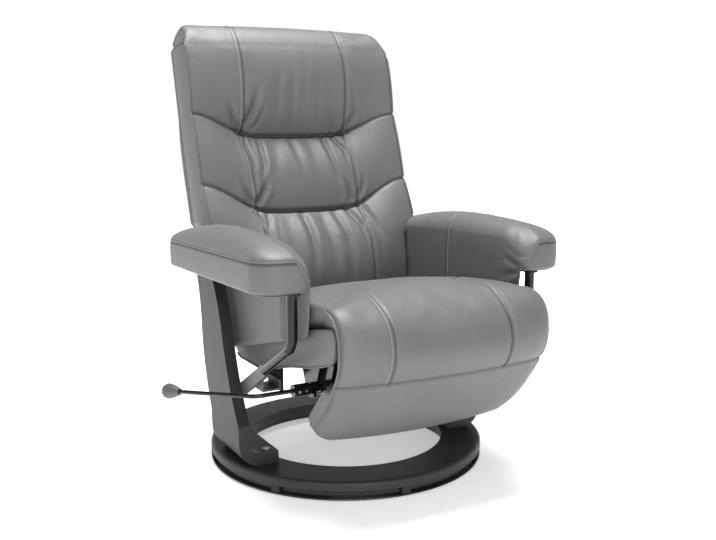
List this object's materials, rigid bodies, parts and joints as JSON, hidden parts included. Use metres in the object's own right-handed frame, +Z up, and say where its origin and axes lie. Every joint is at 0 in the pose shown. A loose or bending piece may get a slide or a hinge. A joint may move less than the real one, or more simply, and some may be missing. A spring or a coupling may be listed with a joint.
{
  "type": "swivel recliner",
  "caption": "Padded leather armchair with a reclining back and a fold-out legrest, carried on bent wood posts that turn on a round ring base.",
  "frame": {"origin": "the middle of the base ring, on the floor", "axes": "+Z up from the floor, -Y to the front that the sitter faces, -X to the sitter's right, the lever's side"},
  "size_m": [0.8725, 0.9249, 1.0641],
  "materials": {
    "grey_leather": "semi-matt pebbled grey leather",
    "padding": "foam and fibre fill in grey leather",
    "stained_wood": "charcoal stained bent wood with a satin lacquer",
    "plywood": "raw plywood",
    "black_steel": "gloss black powder coat",
    "grey_steel": "satin grey paint",
    "moulded_black": "gloss black moulding",
    "nylon": "black nylon",
    "rubber": "black rubber",
    "zinc_steel": "zinc plated",
    "satin_metal": "satin grey"
  },
  "bodies": {
    "floor_base": {"floor_ring": "moulded_black", "floor_glides": "rubber", "bearing_ring": "nylon"},
    "chair": {"back_pivot_pins": "zinc_steel", "brace_bolts": "zinc_steel", "foot_screws": "zinc_steel", "front_cross_tube": "black_steel", "left_arm_board": "plywood", "left_arm_flange": "black_steel", "left_arm_pad": "padding", "left_arm_skirt": "grey_leather", "left_arm_tube": "black_steel", "left_brace": "grey_steel", "left_post": "stained_wood", "left_seat_rail": "black_steel", "left_seat_side": "grey_leather", "left_side_bracket": "grey_steel", "legrest_hinge_pins": "zinc_steel", "lever_spring": "black_steel", "rear_cross_tube": "black_steel", "right_arm_board": "plywood", "right_arm_flange": "black_steel", "right_arm_pad": "padding", "right_arm_skirt": "grey_leather", "right_arm_tube": "black_steel", "right_brace": "grey_steel", "right_post": "stained_wood", "right_seat_rail": "black_steel", "right_seat_side": "grey_leather", "right_side_bracket": "grey_steel", "seat_cushion": "padding", "seat_deck": "plywood", "swivel_guides": "nylon", "swivel_ring": "stained_wood"},
    "backrest": {"back_board": "plywood", "back_cushion": "padding", "rear_cover": "grey_leather"},
    "legrest": {"legrest_roll": "padding", "legrest_pad": "padding", "legrest_board": "plywood", "right_hinge_plate": "black_steel", "left_hinge_plate": "black_steel"},
    "lever": {"lever_shaft": "black_steel", "lever_collar": "black_steel", "lever_socket": "black_steel", "socket_screws": "zinc_steel", "lever_rod": "black_steel", "lever_knob": "satin_metal"}
  },
  "joints": [
    {"name": "base_swivel", "type": "hinge", "parent": "floor_base", "child": "chair", "pos_m": [0, 0, 0], "axis": [0, 0, 1], "continuous": true},
    {"name": "back_recline", "type": "hinge", "parent": "chair", "child": "backrest", "pos_m": [0, 0.207, 0.345], "axis": [-1, 0, 0], "range_deg": [0, 35]},
    {"name": "legrest_lift", "type": "hinge", "parent": "chair", "child": "legrest", "pos_m": [0, -0.393, 0.387], "axis": [-1, 0, 0], "range_deg": [0, 90]},
    {"name": "lever_pull", "type": "hinge", "parent": "chair", "child": "lever", "pos_m": [0, -0.305, 0.272], "axis": [1, 0, 0], "range_deg": [0, 25], "stiffness_Nm_per_rad": 3, "springref_deg": -11.46}
  ]
}
